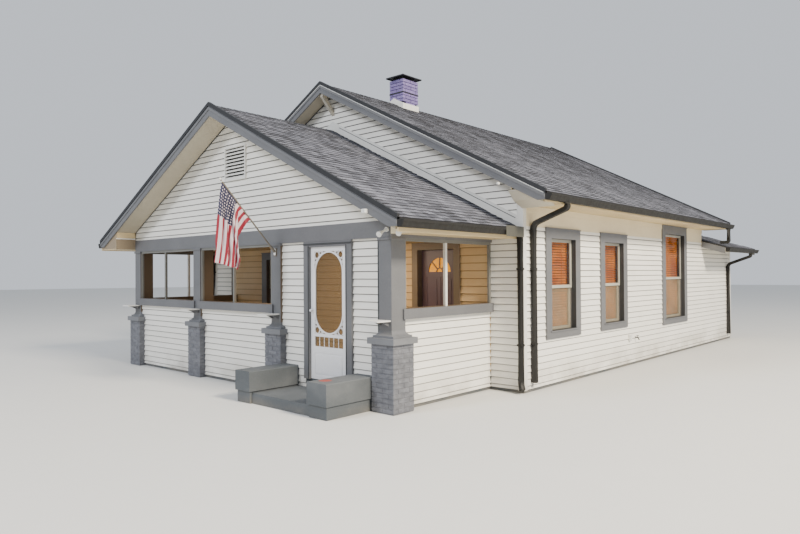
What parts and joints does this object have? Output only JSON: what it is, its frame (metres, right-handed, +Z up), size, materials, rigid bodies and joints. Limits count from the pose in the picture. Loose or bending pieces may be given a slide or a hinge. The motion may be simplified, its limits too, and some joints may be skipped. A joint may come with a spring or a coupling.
{
  "type": "bungalow",
  "caption": "Single storey wood frame bungalow with an enclosed gabled front porch, brick piers, lap siding and a hinged screen door and entry door.",
  "frame": {"origin": "on the ground below the porch ridge, in the plane of the main front wall's siding", "axes": "+Z up, -Y out of the front of the house, +X towards the driveway side"},
  "size_m": [10.326, 15.0661, 6.4602],
  "materials": {
    "painted_concrete": "painted concrete, matt",
    "painted_siding": "painted lap siding, satin",
    "grey_trim": "painted softwood trim, satin",
    "grey_brick": "painted brick, matt",
    "cast_cap": "painted cast concrete, matt",
    "beige_ceiling": "painted boards, matt",
    "beige_soffit": "painted boards, matt",
    "roof_deck": "sawn boards",
    "asphalt_shingle": "mineral granules, matt",
    "white_trim": "painted softwood, satin",
    "purple_brick": "painted brick, matt",
    "black_sheet_metal": "painted sheet steel",
    "bronze_sheet_metal": "coated aluminium, satin",
    "sash_paint": "painted sash, satin",
    "window_glass": "clear glass",
    "wood_blind": "stained slats",
    "door_screen": "woven insect screen",
    "white_door_paint": "painted door, satin",
    "brown_trim": "painted casing, satin",
    "plum_door_paint": "painted door, satin",
    "amber_glass": "textured amber glass",
    "pole_aluminium": "satin",
    "flag_cloth": "woven nylon"
  },
  "bodies": {
    "house": {"main_foundation": "painted_concrete", "porch_floor": "painted_concrete", "front_wall_left": "painted_siding", "front_wall_right": "painted_siding", "front_gable_wall": "painted_siding", "right_wall": "painted_siding", "left_wall": "painted_siding", "rear_walls": "painted_siding", "porch_half_walls": "painted_siding", "porch_door_walls": "painted_siding", "porch_beam": "grey_trim", "porch_gable_wall": "painted_siding", "porch_posts": "grey_trim", "brick_piers": "grey_brick", "pier_caps": "cast_cap", "porch_sills": "grey_trim", "porch_mullions": "grey_trim", "porch_ceiling": "beige_ceiling", "main_roof": "roof_deck", "porch_roof": "roof_deck", "rear_roof": "roof_deck", "roof_shingles": "asphalt_shingle", "rake_boards": "grey_trim", "eave_fascias": "grey_trim", "eave_soffits": "beige_soffit", "corner_boards": "white_trim", "roof_flashing": "white_trim", "chimney_stack": "purple_brick", "chimney_cap": "black_sheet_metal", "roof_gutters": "bronze_sheet_metal", "downspouts": "bronze_sheet_metal", "window_casings": "grey_trim", "window_sashes": "sash_paint", "window_glass": "window_glass", "window_blinds": "wood_blind", "screen_door_frame": "grey_trim", "entry_door_frame": "brown_trim", "gable_vent": "white_trim", "knee_brace": "grey_trim", "post_shelves": "white_trim", "entry_step": "painted_concrete", "flag_pole": "pole_aluminium", "flag": "flag_cloth"},
    "screen_door": {"screen_door": "white_door_paint", "screen_mesh": "door_screen"},
    "entry_door": {"entry_door": "plum_door_paint", "entry_door_glass": "amber_glass"}
  },
  "joints": [
    {"name": "screen_door_hinge", "type": "hinge", "parent": "house", "child": "screen_door", "pos_m": [2.932, -2.377, 0.298], "axis": [0, 0, 1], "range_deg": [0, 95]},
    {"name": "entry_door_hinge", "type": "hinge", "parent": "house", "child": "entry_door", "pos_m": [3.082, 0.159, 0.298], "axis": [0, 0, -1], "range_deg": [0, 95]}
  ]
}
